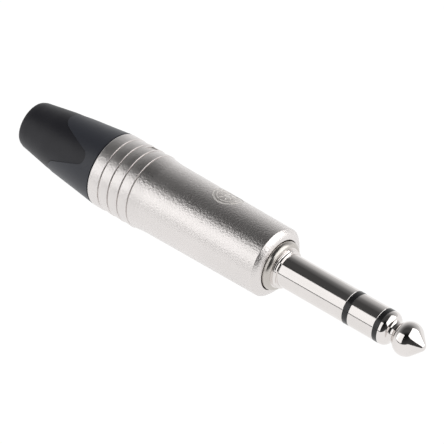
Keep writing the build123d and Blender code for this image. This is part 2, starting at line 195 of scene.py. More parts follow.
polished_tip = turned_piece("polished_tip", [
    (RIVET_X, 0),
    (RIVET_X, RIVET_R - RIVET_BEVEL),
    (RIVET_X + RIVET_BEVEL, RIVET_R),
    (RIVET_SEAT_X, RIVET_R),
    (RIVET_SEAT_X, ROD_R),
    (TIP_BACK_X, ROD_R),
    (TIP_BACK_X, FINGER_R - CONTACT_EDGE),
    (TIP_BACK_X + CONTACT_EDGE, FINGER_R),
    *tip_head(),
])
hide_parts("tip_contact")
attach(polished_tip, "plug")

# %% [markdown]
# Behind the tip come a black ring, the ring contact and a second black ring. They are moulded
# or turned round tubes that run back inside each other. Each gets a hair of a chamfer at its
# edges, because that is what draws the fine bright lines between them.

# %% Black rings
TUBE_WALL = FINGER_R / 8
NEST_GAP = 0.03
INNER_TUBE_R = ROD_R + NEST_GAP + TUBE_WALL
RING_TUBE_R = INNER_TUBE_R + NEST_GAP + TUBE_WALL
OUTER_TUBE_R = RING_TUBE_R + NEST_GAP + TUBE_WALL
BLACK_EDGE = 0.05
FRONT_RING_X = 21.25
REAR_RING_X = 14.6
REAR_RING_END_X = 15.8


def black_ring(name, back, front, tube_r):
    """Short ring round a tube, with its outer edges softened."""
    return turned_piece(name, closed([
        (back, tube_r + NEST_GAP),
        (back, FINGER_R - BLACK_EDGE),
        (back + BLACK_EDGE, FINGER_R),
        (front - BLACK_EDGE, FINGER_R),
        (front, FINGER_R - BLACK_EDGE),
        (front, tube_r + NEST_GAP),
    ]))


black_ring_front = black_ring("black_ring_front", FRONT_RING_X, TIP_BACK_X, INNER_TUBE_R)
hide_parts("front_insulating_ring")
black_ring_rear = black_ring("black_ring_rear", REAR_RING_X, REAR_RING_END_X, OUTER_TUBE_R)
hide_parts("rear_insulating_ring")
for ring in (black_ring_front, black_ring_rear):
    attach(ring, "plug")

# %% [markdown]
# The ring contact is a short polished band in one piece with a thin tube, which carries its
# signal back to the second terminal. It is turned from one profile, band and tube together.

# %% Ring contact
RING_TAIL_X = -11.15
polished_ring = turned_piece("polished_ring", closed([
    (RING_TAIL_X, INNER_TUBE_R + NEST_GAP),
    (RING_TAIL_X, RING_TUBE_R),
    (REAR_RING_END_X, RING_TUBE_R),
    (REAR_RING_END_X, FINGER_R - CONTACT_EDGE),
    (REAR_RING_END_X + CONTACT_EDGE, FINGER_R),
    (FRONT_RING_X - CONTACT_EDGE, FINGER_R),
    (FRONT_RING_X, FINGER_R - CONTACT_EDGE),
    (FRONT_RING_X, INNER_TUBE_R + NEST_GAP),
]))
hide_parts("ring_contact")
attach(polished_ring, "plug")

# %% [markdown]
# The sleeve contact is the thick tube of the finger with a small collar at its root, a rounded
# nose that fills the mouth of the barrel, and a flange that seats behind the barrel's lip.
# The finger is polished and the nose is only brushed, so the faces behind the collar are
# marked as a second part that gets a finish of its own: a rougher nickel whose darker, browner
# colour is a painted dim reflection.

# %% Sleeve contact
ROOT_FILLET = 0.12
COLLAR_R = FINGER_R + 0.475
COLLAR_BACK_X = -0.87
COLLAR_EDGE = 0.06
COLLAR_DROP = 0.02
LINE_DEPTH = 0.12
NOSE_FRONT_X = COLLAR_BACK_X - 0.01
NOSE_R = 4.75
NOSE_ROUND = 0.95
LIP_X = -4.25
FLANGE_R = 5.65
FLANGE_BACK_X = -6.15
TAIL_R = 4.2
TAIL_BACK_X = -7.95


def sleeve_profile():
    """Finger tube, collar with its fine line, rounded nose, seat flange and tail."""
    bore = OUTER_TUBE_R + NEST_GAP
    line_x = COLLAR_BACK_X / 2
    fillet_centre = (ROOT_FILLET, FINGER_R + ROOT_FILLET)
    nose_centre = (COLLAR_BACK_X - NOSE_ROUND, NOSE_R - NOSE_ROUND)
    return closed([
        (REAR_RING_X, bore),
        (REAR_RING_X, FINGER_R - CONTACT_EDGE),
        (REAR_RING_X - CONTACT_EDGE, FINGER_R),
        *round_stretch(fillet_centre, ROOT_FILLET, 270, 180, 4),
        (0, COLLAR_R - COLLAR_EDGE),
        (-COLLAR_EDGE, COLLAR_R),
        (line_x + LINE_DEPTH, COLLAR_R),
        (line_x, COLLAR_R - LINE_DEPTH),
        (line_x - LINE_DEPTH, COLLAR_R),
        (COLLAR_BACK_X + COLLAR_EDGE, COLLAR_R),
        (COLLAR_BACK_X, COLLAR_R - COLLAR_DROP),
        *round_stretch(nose_centre, NOSE_ROUND, 0, 90, 14),
        (LIP_X, NOSE_R),
        (LIP_X, FLANGE_R),
        (FLANGE_BACK_X, FLANGE_R),
        (FLANGE_BACK_X, TAIL_R),
        (TAIL_BACK_X, TAIL_R),
        (TAIL_BACK_X, bore),
    ])


polished_sleeve = turned_piece("polished_sleeve", sleeve_profile())
for part in ("finger_part", "nose_part"):
    polished_sleeve.data.materials.append(bpy.data.materials.new(part))
for face in polished_sleeve.data.polygons:
    face.material_index = int(face.center.x < NOSE_FRONT_X * MM)
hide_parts("sleeve_contact")
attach(polished_sleeve, "plug")

# %% [markdown]
# The barrel is turned from one bar. Its grip is a row of short rings, each a little thicker
# towards its front, where it steps down into a fine line. The body narrows slightly towards
# the finger, and a small round leads over into the soft crown of its front edge. The whole
# barrel is bead blasted and plated after turning, so its edges are never sharp.

# %% Barrel
BARREL_STEPS = 192
JOINT_X = -41.25
FRONT_X = -2.05
GRIP_R = 7.244
REAR_R = 6.87
FRONT_R = 6.62
REAR_ROUND = 0.24
GROOVES = 4
GROOVE_FIRST = 2.45
GROOVE_PITCH = 2.3
GROOVE_ROUND = 0.07
GROOVE_SETBACK = 0.12
GROOVE_LINE = [(0.02, 0.28), (0.11, 0.28), (0.15, 0.14)]
GRIP_RUNOUT = [(-30.5, 0.115), (-29.9, 0.063), (-29.5, 0.026), (-29.2, 0.008), (-28.9, 0)]
SHOULDER_BACK = 1.10
SHOULDER_SOFT = 0.2
CROWN_CENTRE = (FRONT_X - 2.037, 4.783)
CROWN_ROUND = 2.02
MOUTH_R = 4.9
MOUTH_EDGE = [(0, 0.08), (0.02, 0.02), (0.08, 0)]
BORE_R = 5.75
THREAD_BORE_R = 6.13
THREAD_END_X = -33.12


def grip_profile():
    """Rounded rear edge, and the rings with a fine line in front of each."""
    rear_centre = (JOINT_X + REAR_ROUND, GRIP_R - REAR_ROUND)
    profile = round_stretch(rear_centre, REAR_ROUND, 180, 90, 6)
    for number in range(GROOVES):
        middle = JOINT_X + GROOVE_FIRST + GROOVE_PITCH * number
        ring_end = (middle - GROOVE_SETBACK, GRIP_R - GROOVE_ROUND)
        profile += round_stretch(ring_end, GROOVE_ROUND, 90, 10, 4)
        profile += [(middle + x, GRIP_R - depth) for x, depth in GROOVE_LINE]
    return profile


def barrel_profile():
    """Outside from the joint to the front, then the lip, the bore and the thread's bore."""
    shoulder_centre = (FRONT_X - SHOULDER_BACK, FRONT_R - SHOULDER_SOFT)
    profile = grip_profile()
    profile += [(x, REAR_R + rise) for x, rise in GRIP_RUNOUT]
    profile += round_stretch(shoulder_centre, SHOULDER_SOFT, 90, 45, 6)
    profile += round_stretch(CROWN_CENTRE, CROWN_ROUND, 45, 12, 12)
    profile += [(FRONT_X - x, MOUTH_R + rise) for x, rise in MOUTH_EDGE]
    profile += [(LIP_X, MOUTH_R), (LIP_X, BORE_R), (THREAD_END_X, BORE_R)]
    profile += [(THREAD_END_X, THREAD_BORE_R), (JOINT_X, THREAD_BORE_R)]
    return closed(profile)


barrel = turned_piece("blasted_barrel", barrel_profile(), BARREL_STEPS)

# %% [markdown]
# What isn't turned is cut with the Boolean tool. Its exact solver keeps the body closed, and
# new faces take the cutter's material, so a cut can have a finish of its own. Round edges
# next to a cut are shaded by the area of their faces, which keeps the large faces even.

# %% Helpers for cuts
FACE_WEIGHT = 90
DISC_SIDES = 72


def dress(piece, material):
    """The piece gets this one material."""
    piece.data.materials.clear()
    piece.data.materials.append(material)


def cut(piece, cutter):
    """Cuts the cutter's body out of the piece and removes the cutter."""
    pick_only(piece)
    step = piece.modifiers.new("cut", "BOOLEAN")
    step.operation = "DIFFERENCE"
    step.solver = "EXACT"
    step.material_mode = "TRANSFER"
    step.object = cutter
    bpy.ops.object.modifier_apply(modifier=step.name)
    bpy.data.objects.remove(cutter)


def joined(pieces):
    """The pieces as one object."""
    pick_only(*pieces)
    bpy.ops.object.join()
    return pieces[0]


def rolled(piece, roll):
    """The piece, built on top of the axis, rolled about it, with its place in its mesh."""
    pick_only(piece)
    bpy.ops.object.transform_apply(location=True, rotation=True, scale=True)
    piece.rotation_euler = (radians(roll), 0, 0)
    bpy.ops.object.transform_apply(location=True, rotation=True, scale=True)
    return piece


def smoothed(piece):
    """The piece shaded smooth except across sharp edges, its large faces even to the rim."""
    pick_only(piece)
    bpy.ops.object.shade_smooth_by_angle(angle=radians(SMOOTH_ANGLE))
    weighted = piece.modifiers.new("weighted", "WEIGHTED_NORMAL")
    weighted.keep_sharp = True
    weighted.weight = FACE_WEIGHT
    bpy.ops.object.modifier_apply(modifier=weighted.name)
    print(piece.name, "has", len(piece.data.polygons), "faces")


def disc(radius, place, height):
    """Round bar standing upright at its place."""
    bpy.ops.mesh.primitive_cylinder_add(
        vertices=DISC_SIDES, radius=radius * MM, depth=height * MM,
        location=Vector(place) * MM)
    return bpy.context.object


def bar(size, place, turn=0):
    """Square bar at its place, turned about the vertical."""
    bpy.ops.mesh.primitive_cube_add(
        size=MM, location=Vector(place) * MM, rotation=(0, 0, radians(turn)))
    bpy.context.object.scale = size
    return bpy.context.object


# %% [markdown]
# Two things are cut into the barrel: a small key notch let into the grip, and a plain round
# mark. A smooth disc is sunk a hair into the blasted metal first, and two rings with a hub and
# eight spokes are etched deeper into it. Both cutters lose everything below a slimmer barrel,
# so their floors follow the round.

# %% Notch and mark
NOTCH_SIZE = (1.5, 2.4, 3)
NOTCH_BACK = 6.2
NOTCH_DEPTH = 0.32
NOTCH_ROLL = -31
MARK_CENTRE = (-16.2, 0, 6.5)
MARK_ROLL = -23
FIELD_R = 3.0
FIELD_DEPTH = 0.02
MARK_DEPTH = 0.08
MARK_RINGS = [(2.85, 2.5), (2.15, 1.9)]
HUB_R = 0.65
SPOKES = 8
SPOKE_REACH = 1.28
SPOKE_SIZE = (0.9, 0.32, 3)
CUTTER_HEIGHT = 3
FLOOR_REACH = 4
TAPER_LENGTH = 26.3
BLASTED_PART, FIELD_PART, ETCHED_PART = (
    bpy.data.materials.new(part) for part in ("blasted_part", "field_part", "etched_part"))


def above_floor(cutter, depth, part):
    """The cutter, rolled into place, without all that is deeper than this in the barrel."""
    rolled(cutter, MARK_ROLL)
    share = (MARK_CENTRE[0] - FRONT_X) / (GRIP_RUNOUT[-1][0] - FRONT_X)
    floor_r = FRONT_R + (REAR_R - FRONT_R) * share - depth
    rise = FLOOR_REACH * (REAR_R - FRONT_R) / TAPER_LENGTH
    back, front = MARK_CENTRE[0] - FLOOR_REACH, MARK_CENTRE[0] + FLOOR_REACH
    cut(cutter, turned_piece("mark_floor", [
        (back, 0), (back, floor_r + rise), (front, floor_r - rise), (front, 0),
    ]))
    dress(cutter, part)
    return cutter


def mark_strokes():
    """Rings, hub and spokes as one body."""
    strokes = []
    for outer, inner in MARK_RINGS:
        strokes.append(disc(outer, MARK_CENTRE, CUTTER_HEIGHT))
        cut(strokes[-1], disc(inner, MARK_CENTRE, CUTTER_HEIGHT + 1))
    strokes.append(disc(HUB_R, MARK_CENTRE, CUTTER_HEIGHT))
    for number in range(SPOKES):
        turn = 360 / SPOKES * (number + 0.5)
        way = Vector((cos(radians(turn)), sin(radians(turn)), 0))
        strokes.append(bar(SPOKE_SIZE, Vector(MARK_CENTRE) + way * SPOKE_REACH, turn))
    return joined(strokes)


barrel.data.materials.append(BLASTED_PART)
notch_height = GRIP_R - NOTCH_DEPTH + NOTCH_SIZE[2] / 2
cut(barrel, rolled(bar(NOTCH_SIZE, (JOINT_X + NOTCH_BACK, 0, notch_height)), NOTCH_ROLL))
cut(barrel, above_floor(disc(FIELD_R, MARK_CENTRE, CUTTER_HEIGHT), FIELD_DEPTH, FIELD_PART))
cut(barrel, above_floor(mark_strokes(), MARK_DEPTH, ETCHED_PART))
smoothed(barrel)
print("parts of the barrel", [part.name for part in barrel.data.materials])
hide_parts("housing")
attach(barrel, "plug")

# %% [markdown]
# The screw bushing and the soft boot are one moulding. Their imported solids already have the
# right form, so copies of those are finished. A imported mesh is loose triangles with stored
# normals. Its doubled vertices are merged and the normals dropped, so that it shades afresh.

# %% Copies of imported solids
COPY_MERGE = 0.0005


def copy_of(node, name):
    """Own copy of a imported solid, merged and without its stored normals."""
    piece = bpy.data.objects.new(name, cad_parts[node].data.copy())
    piece.data.name = name
    bpy.context.scene.collection.objects.link(piece)
    pick_only(piece)
    bpy.ops.object.mode_set(mode="EDIT")
    bpy.ops.mesh.select_all(action="SELECT")
    bpy.ops.mesh.remove_doubles(threshold=COPY_MERGE * MM)
    bpy.ops.mesh.normals_make_consistent(inside=False)
    bpy.ops.object.mode_set(mode="OBJECT")
    bpy.ops.mesh.customdata_custom_splitnormals_clear()
    print(name, "starts with", len(piece.data.polygons), "faces")
    return piece


# %% [markdown]
# The spigot's thread is cut as on a lathe: a V is swept along a right-handed helix, a little
# past both ends, and taken out of the plain spigot. The screw modifier makes that sweep, and
# its two open ends are filled, because the Boolean tool needs a closed cutter.

# %% Bushing and its thread
BOOT_X = -41.4
THREAD_R = 6.05
THREAD_ROOT_R = 5.76
THREAD_START_X = BOOT_X + 0.6
THREAD_TURNS = 8.4
PITCH = 1.0
GROOVE_HALF = 0.42
GROOVE_PROUD = 0.12
SWEEP_STEPS = 520


def select_open_edges():
    """Only the edges round a hole are selected."""
    bpy.ops.mesh.select_all(action="DESELECT")
    bpy.ops.mesh.select_non_manifold()


def thread_groove():
    """V swept along a right-handed helix, closed at both ends."""
    crest = THREAD_R + GROOVE_PROUD
    groove = drawn_line("thread_groove", closed([
        (THREAD_START_X - GROOVE_HALF, 0, crest),
        (THREAD_START_X, 0, THREAD_ROOT_R),
        (THREAD_START_X + GROOVE_HALF, 0, crest),
    ]))
    bpy.ops.mesh.remove_doubles(threshold=MERGE * MM)
    bpy.ops.object.mode_set(mode="OBJECT")
    sweep = groove.modifiers.new("sweep", "SCREW")
    sweep.axis = "X"
    sweep.angle = 2 * pi * THREAD_TURNS
    sweep.screw_offset = PITCH * THREAD_TURNS * MM
    sweep.steps = SWEEP_STEPS
    sweep.render_steps = SWEEP_STEPS
    sweep.use_smooth_shade = False
    bpy.ops.object.modifier_apply(modifier=sweep.name)
    bpy.ops.object.mode_set(mode="EDIT")
    select_open_edges()
    bpy.ops.mesh.edge_face_add()
    select_open_edges()
    print("open edges left on the groove", sum(e.select for e in groove.data.edges))
    bpy.ops.mesh.select_all(action="SELECT")
    bpy.ops.mesh.normals_make_consistent(inside=False)
    bpy.ops.object.mode_set(mode="OBJECT")
    return groove


screw_bushing = copy_of("bushing", "screw_bushing")
cut(screw_bushing, thread_groove())
smoothed(screw_bushing)
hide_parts("bushing")
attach(screw_bushing, "boot")

# %% [markdown]
# Two materials that are moulded together always show a fine dark line where they meet. Here
# the soft petals stop a hair short of the hard tongues. The line follows the petals' outline
# in plan: a round nose, two straight flanks, and the round ends of the tongues. A thin shell
# over the tongues and the gap round them is cut from the soft boot.

# %% Boot with its fine gap
GAP = 0.06
PETALS = 3
PETAL_ROLL = 48.9
PETAL_NOSE_X = BOOT_X - 3.7
PETAL_ROUND = 1.5
PETAL_LEAN = 18.35
PETAL_REACH = 8.2
TONGUE_END_X = BOOT_X - 8
TONGUE_ROUND = 3
TAIL_HALF = 4.4
TAIL_REACH = 4.5
PLAN_LOW, PLAN_TOP = 3, 9
SHELL_FRONT_X = BOOT_X + 0.3
SHELL_BEND_X = BOOT_X - 4.4
SHELL_BACK_X = BOOT_X - 11.6
SHELL_BACK_R, SHELL_BEND_R, SHELL_FRONT_R = 5.48, 6.26, 6.75
SHELL_R = 8


def plan_piece(name, outline, roll):
    """Upright body over an outline seen from above, rolled about the axis."""
    piece = drawn_line(name, [(x, y, PLAN_LOW) for x, y in closed(outline)])
    bpy.ops.mesh.remove_doubles(threshold=MERGE * MM)
    bpy.ops.mesh.edge_face_add()
    lift = (0, 0, (PLAN_TOP - PLAN_LOW) * MM)
    bpy.ops.mesh.extrude_region_move(TRANSFORM_OT_translate={"value": lift})
    bpy.ops.mesh.select_all(action="SELECT")
    bpy.ops.mesh.normals_make_consistent(inside=False)
    bpy.ops.object.mode_set(mode="OBJECT")
    return rolled(piece, roll)


def petal_core(number):
    """Space of one petal, narrower all round by the gap."""
    lean = radians(PETAL_LEAN)
    radius = PETAL_ROUND - GAP
    back = PETAL_NOSE_X - PETAL_REACH
    half_width = (radius + PETAL_REACH * sin(lean)) / cos(lean)
    nose_end = 90 - PETAL_LEAN
    outline = round_stretch((PETAL_NOSE_X, 0), radius, -nose_end, nose_end, 14)
    outline += [(back, half_width), (back, -half_width)]
    return plan_piece("petal_core", outline, PETAL_ROLL + 360 / PETALS * number)


def tail_core(number):
    """Space behind one tongue, kept off its round end by the gap."""
    back = TONGUE_END_X - TAIL_REACH
    outline = [(back, -TAIL_HALF), (back, TAIL_HALF), (TONGUE_END_X, TAIL_HALF)]
    outline += round_stretch((TONGUE_END_X, 0), TONGUE_ROUND + GAP, 90, 270, 28)
    outline.append((TONGUE_END_X, -TAIL_HALF))
    return plan_piece("tail_core", outline, PETAL_ROLL + 360 / PETALS * (number + 0.5))


def gap_shell():
    """Thin shell just under the boot's skin over the tongues and the gap round them."""
    shell = turned_piece("gap_shell", closed([
        (SHELL_FRONT_X, SHELL_FRONT_R),
        (SHELL_FRONT_X, SHELL_R),
        (SHELL_BACK_X, SHELL_R),
        (SHELL_BACK_X, SHELL_BACK_R),
        (SHELL_BEND_X, SHELL_BEND_R),
    ]))
    for core in (petal_core, tail_core):
        cut(shell, joined([core(number) for number in range(PETALS)]))
    return shell


soft_boot = copy_of("boot", "soft_boot")
cut(soft_boot, gap_shell())
smoothed(soft_boot)
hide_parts("boot")
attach(soft_boot, "boot")

# %% [markdown]
# Now the finishes. Effects that several of them share are node groups: a fine grain, soft
# smudges from handling, and worn edges, whose lighter colour is also a painted edge highlight.
# Each group gives a value that changes over the surface, and every material turns it into its
# own colour, roughness and bump.

# %% Helpers for node trees


def new_material(name):
    """Empty material and the tree that is filled in."""
    material = bpy.data.materials.new(name)
    material.use_nodes = True
    material.node_tree.nodes.clear()
    return material, material.node_tree


def add_node(tree, kind, **values):
    """A node with its settings and sockets filled in by name."""
    made = tree.nodes.new(kind)
    for name, value in values.items():
        if hasattr(made, name):
            setattr(made, name, value)
        else:
            made.inputs[name.replace("_", " ")].default_value = value
    return made


def colour_mix(tree, factor, first, second):
    """Blend of two colours, the first one a value or the output of another node."""
    made = add_node(tree, "ShaderNodeMix", data_type="RGBA")
    tree.links.new(factor, made.inputs["Factor"])
    a, b = (s for s in made.inputs if s.name in ("A", "B") and s.type == "RGBA")
    if isinstance(first, bpy.types.NodeSocket):
        tree.links.new(first, a)
    else:
        a.default_value = (*first, 1)
    b.default_value = (*second, 1)
    return next(s for s in made.outputs if s.type == "RGBA")


def effect_group(name, inputs, output):
    """Empty node group with its named inputs, their usual values, and its output."""
    group = bpy.data.node_groups.new(name, "ShaderNodeTree")
    for label, value in inputs.items():
        socket = group.interface.new_socket(
            name=label, in_out="INPUT", socket_type="NodeSocketFloat")
        socket.default_value = value
    group.interface.new_socket(name=output, in_out="OUTPUT", socket_type="NodeSocketFloat")
    return group, group.nodes.new("NodeGroupInput"), group.nodes.new("NodeGroupOutput")


def object_noise(group, size, **values):
    """Noise on the piece's own coordinates, whose size in millimetres is a group input."""
    place = add_node(group, "ShaderNodeTexCoord")
    scale = add_node(group, "ShaderNodeMath", operation="DIVIDE")
    scale.inputs[0].default_value = 1 / MM
    noise = add_node(group, "ShaderNodeTexNoise", **values)
    group.links.new(size, scale.inputs[1])
    group.links.new(place.outputs["Object"], noise.inputs["Vector"])
    group.links.new(scale.outputs[0], noise.inputs["Scale"])
    return noise


# %% [markdown]
# Grain is a fine noise in object space. Its size is given in millimetres, because a blasted
# pit, a moulding texture and a rubber skin each have a real size, whatever the picture's is.

# %% Fine grain
grain_group, grain_in, grain_out = effect_group(
    "fine_grain", {"Size": 0.2, "Detail": 2.0}, "Height")
grain_noise = object_noise(grain_group, grain_in.outputs["Size"], Roughness=0.6)
grain_group.links.new(grain_in.outputs["Detail"], grain_noise.inputs["Detail"])
grain_group.links.new(grain_noise.outputs["Fac"], grain_out.inputs["Height"])
print(grain_group.name, "has", len(grain_group.nodes), "nodes")

# %% [markdown]
# Smudges are what fingers leave on metal and rubber: large soft clouds. A slow noise is
# stretched round its middle value, and the sharper it is stretched, the harder the clouds end.

# %% Handling smudges
smudge_group, smudge_in, smudge_out = effect_group(
    "handling_smudges", {"Size": 8.0, "Sharpness": 0.25}, "Mask")
smudge_noise = object_noise(
    smudge_group, smudge_in.outputs["Size"], Detail=4.0, Roughness=0.55, Distortion=0.6)
smudge_range = add_node(smudge_group, "ShaderNodeMapRange", clamp=True)
smudge_group.links.new(smudge_noise.outputs["Fac"], smudge_range.inputs["Value"])
for operation, bound in (("SUBTRACT", "From Min"), ("ADD", "From Max")):
    smudge_end = add_node(smudge_group, "ShaderNodeMath", operation=operation)
    smudge_end.inputs[0].default_value = 0.5
    smudge_group.links.new(smudge_in.outputs["Sharpness"], smudge_end.inputs[1])
    smudge_group.links.new(smudge_end.outputs[0], smudge_range.inputs[bound])
smudge_group.links.new(smudge_range.outputs["Result"], smudge_out.inputs["Mask"])
print(smudge_group.name, "has", len(smudge_group.nodes), "nodes")

# %% [markdown]
# Plating wears first where an edge stands out. The lighter colour this mask gives at edges is
# partly that wear and partly a painted highlight, which stands in for the light that rounded
# edges catch. The bevel node bends the normal near an edge, so the angle between it and the
# true normal says how close the edge is.

# %% Worn edges and painted edge highlights
# Mask for a lighter edge colour that is partly wear and partly a painted edge highlight.
wear_and_highlight_group, wear_and_highlight_in, wear_and_highlight_out = effect_group("worn_and_highlit_edges", {"Width": 0.15, "Gain": 4.0}, "Mask")
edge_width_m = add_node(wear_and_highlight_group, "ShaderNodeMath", operation="MULTIPLY")
edge_width_m.inputs[1].default_value = MM
wear_and_highlight_group.links.new(wear_and_highlight_in.outputs["Width"], edge_width_m.inputs[0])
edge_bevel = add_node(wear_and_highlight_group, "ShaderNodeBevel", samples=4)
wear_and_highlight_group.links.new(edge_width_m.outputs[0], edge_bevel.inputs["Radius"])
true_normal = add_node(wear_and_highlight_group, "ShaderNodeNewGeometry")
edge_dot = add_node(wear_and_highlight_group, "ShaderNodeVectorMath", operation="DOT_PRODUCT")
wear_and_highlight_group.links.new(edge_bevel.outputs["Normal"], edge_dot.inputs[0])
wear_and_highlight_group.links.new(true_normal.outputs["Normal"], edge_dot.inputs[1])
edge_turn = add_node(wear_and_highlight_group, "ShaderNodeMath", operation="SUBTRACT")
edge_turn.inputs[0].default_value = 1
wear_and_highlight_group.links.new(edge_dot.outputs["Value"], edge_turn.inputs[1])
wear_and_highlight_gain = add_node(wear_and_highlight_group, "ShaderNodeMath", operation="MULTIPLY", use_clamp=True)
wear_and_highlight_group.links.new(edge_turn.outputs[0], wear_and_highlight_gain.inputs[0])
wear_and_highlight_group.links.new(wear_and_highlight_in.outputs["Gain"], wear_and_highlight_gain.inputs[1])
wear_and_highlight_group.links.new(wear_and_highlight_gain.outputs[0], wear_and_highlight_out.inputs["Mask"])
print(wear_and_highlight_group.name, "has", len(wear_and_highlight_group.nodes), "nodes")

# %% [markdown]
# One builder serves every finish: two colours blended by smudges, a third at worn edges that
# is also a painted edge highlight, a roughness that rises with the smudges and grain, and a
# bump from the grain. What changes from metal to rubber are the numbers, which are given
# where each finish is made.

# %% Finish builder
SMUDGE_SHARPNESS = 0.22
EDGE_MASK_WIDTH = 0.15


def place_group(tree, group, **values):
    """The group as a node of a material, with this material's own values."""
    made = tree.nodes.new("ShaderNodeGroup")
    made.node_tree = group
    for name, value in values.items():
        made.inputs[name].default_value = value
    return made.outputs[0]


def finish(name, colour, smudged, worn_and_highlit, metallic, roughness, spread, grain_size, grain_depth,
           smudge_size=8.0, grain_detail=2.0, grain_roughness=0.0, wear_and_highlight_gain=3.0, ior=1.5):
    """Material whose colour, roughness and bump change over the surface; sizes are in mm."""
    material, tree = new_material(name)
    shader = add_node(tree, "ShaderNodeBsdfPrincipled", Metallic=metallic, IOR=ior)
    grain = place_group(tree, grain_group, Size=grain_size, Detail=grain_detail)
    smudges = place_group(tree, smudge_group, Size=smudge_size, Sharpness=SMUDGE_SHARPNESS)
    # The edge mask lightens the colour at edges: partly wear, partly a painted edge highlight.
    wear_and_highlight = place_group(tree, wear_and_highlight_group, Width=EDGE_MASK_WIDTH, Gain=wear_and_highlight_gain)
    handled = colour_mix(tree, smudges, colour, smudged)
    tree.links.new(colour_mix(tree, wear_and_highlight, handled, worn_and_highlit), shader.inputs["Base Color"])
    rough = add_node(
        tree, "ShaderNodeMapRange", To_Min=roughness, To_Max=roughness + spread)
    tree.links.new(smudges, rough.inputs["Value"])
    grainy = add_node(tree, "ShaderNodeMath", operation="MULTIPLY_ADD")
    tree.links.new(grain, grainy.inputs[0])
    grainy.inputs[1].default_value = grain_roughness
    tree.links.new(rough.outputs["Result"], grainy.inputs[2])
    tree.links.new(grainy.outputs[0], shader.inputs["Roughness"])
    bump = add_node(tree, "ShaderNodeBump", Strength=1, Distance=grain_depth * MM)
    tree.links.new(grain, bump.inputs["Height"])
    tree.links.new(bump.outputs["Normal"], shader.inputs["Normal"])
    output = add_node(tree, "ShaderNodeOutputMaterial")
    tree.links.new(shader.outputs["BSDF"], output.inputs["Surface"])
    print(name, "has", len(tree.nodes), "nodes")
    return material


# %% [markdown]
# The metal is nickel plate, which is warmer and darker than silver. On the finger it is
# polished, on the barrel bead blasted, so the same lamps give a mirror there and a soft band
# here. The nose is brushed, and its darker, browner colour is a painted dim reflection. The
# mark's disc is left smooth with its strokes etched to a dull white, and the solder tags
# inside the plug are tinned.

# %% Metal finishes
polished_nickel = finish(
    "polished_nickel",
    colour=(0.780, 0.745, 0.728), smudged=(0.73, 0.70, 0.68), worn_and_highlit=(0.84, 0.81, 0.79),
    metallic=1.0, roughness=0.06, spread=0.05, grain_size=0.6, grain_depth=0.0006,
    smudge_size=6.0,
)
blasted_nickel = finish(
    "blasted_nickel",
    colour=(0.770, 0.735, 0.720), smudged=(0.73, 0.70, 0.685), worn_and_highlit=(0.82, 0.79, 0.77),
    metallic=1.0, roughness=0.22, spread=0.04, grain_size=0.36, grain_depth=0.072,
    smudge_size=14.0, grain_detail=4.0, grain_roughness=0.08,
)
etched_nickel = finish(
    "etched_nickel",
    colour=(0.95, 0.93, 0.91), smudged=(0.90, 0.88, 0.86), worn_and_highlit=(0.96, 0.94, 0.92),
    metallic=1.0, roughness=0.72, spread=0.06, grain_size=0.15, grain_depth=0.01,
    smudge_size=5.0, wear_and_highlight_gain=0.0,
)
mark_field = finish(
    "mark_field",
    colour=(0.66, 0.63, 0.61), smudged=(0.63, 0.60, 0.58), worn_and_highlit=(0.70, 0.67, 0.65),
    metallic=1.0, roughness=0.30, spread=0.04, grain_size=0.3, grain_depth=0.004,
    smudge_size=5.0, wear_and_highlight_gain=0.0,
)
# The nose's darker, browner colours are a painted dim reflection; its higher roughness is the
# real brushed finish.
brushed_nose_painted_reflection = finish(
    "brushed_nose_painted_reflection",
    colour=(0.58, 0.55, 0.515), smudged=(0.53, 0.50, 0.47), worn_and_highlit=(0.70, 0.67, 0.64),
    metallic=1.0, roughness=0.24, spread=0.06, grain_size=0.3, grain_depth=0.006,
    smudge_size=4.0,
)
tinned_tag = finish(
    "tinned_tag",
    colour=(0.62, 0.62, 0.60), smudged=(0.50, 0.50, 0.48), worn_and_highlit=(0.72, 0.72, 0.70),
    metallic=1.0, roughness=0.22, spread=0.12, grain_size=0.5, grain_depth=0.01,
    smudge_size=2.0,
)

# %% [markdown]
# The plastics that show are nearly black and differ in tone and gloss: the rings in the finger
# are glossy, the hard tongues are a bluish half matt grey, and the rubber is darker and duller.
# Inside, where it doesn't show, the tubes and washers are pale nylon.

# %% Plastic and rubber finishes
black_insulator = finish(
    "black_insulator",
    colour=(0.012, 0.012, 0.013), smudged=(0.018, 0.018, 0.019), worn_and_highlit=(0.05, 0.05, 0.05),
    metallic=0.0, roughness=0.22, spread=0.08, grain_size=0.3, grain_depth=0.002,
)
boot_rubber = finish(
    "boot_rubber",
    colour=(0.010, 0.0098, 0.016), smudged=(0.008, 0.0078, 0.013), worn_and_highlit=(0.020, 0.020, 0.027),
    metallic=0.0, roughness=0.42, spread=0.08, grain_size=0.22, grain_depth=0.010,
    smudge_size=9.0, ior=1.45,
)
bushing_plastic = finish(
    "bushing_plastic",
    colour=(0.034, 0.037, 0.050), smudged=(0.030, 0.033, 0.045), worn_and_highlit=(0.048, 0.052, 0.064),
    metallic=0.0, roughness=0.38, spread=0.06, grain_size=0.3, grain_depth=0.005,
    smudge_size=9.0,
)
pale_insulator = finish(
    "pale_insulator",
    colour=(0.72, 0.69, 0.60), smudged=(0.66, 0.62, 0.53), worn_and_highlit=(0.78, 0.76, 0.68),
    metallic=0.0, roughness=0.38, spread=0.08, grain_size=0.3, grain_depth=0.004,
    smudge_size=4.0,
)
liner_plastic = finish(
    "liner_plastic",
    colour=(0.030, 0.030, 0.032), smudged=(0.024, 0.024, 0.026), worn_and_highlit=(0.05, 0.05, 0.05),
    metallic=0.0, roughness=0.42, spread=0.06, grain_size=0.3, grain_depth=0.004,
)
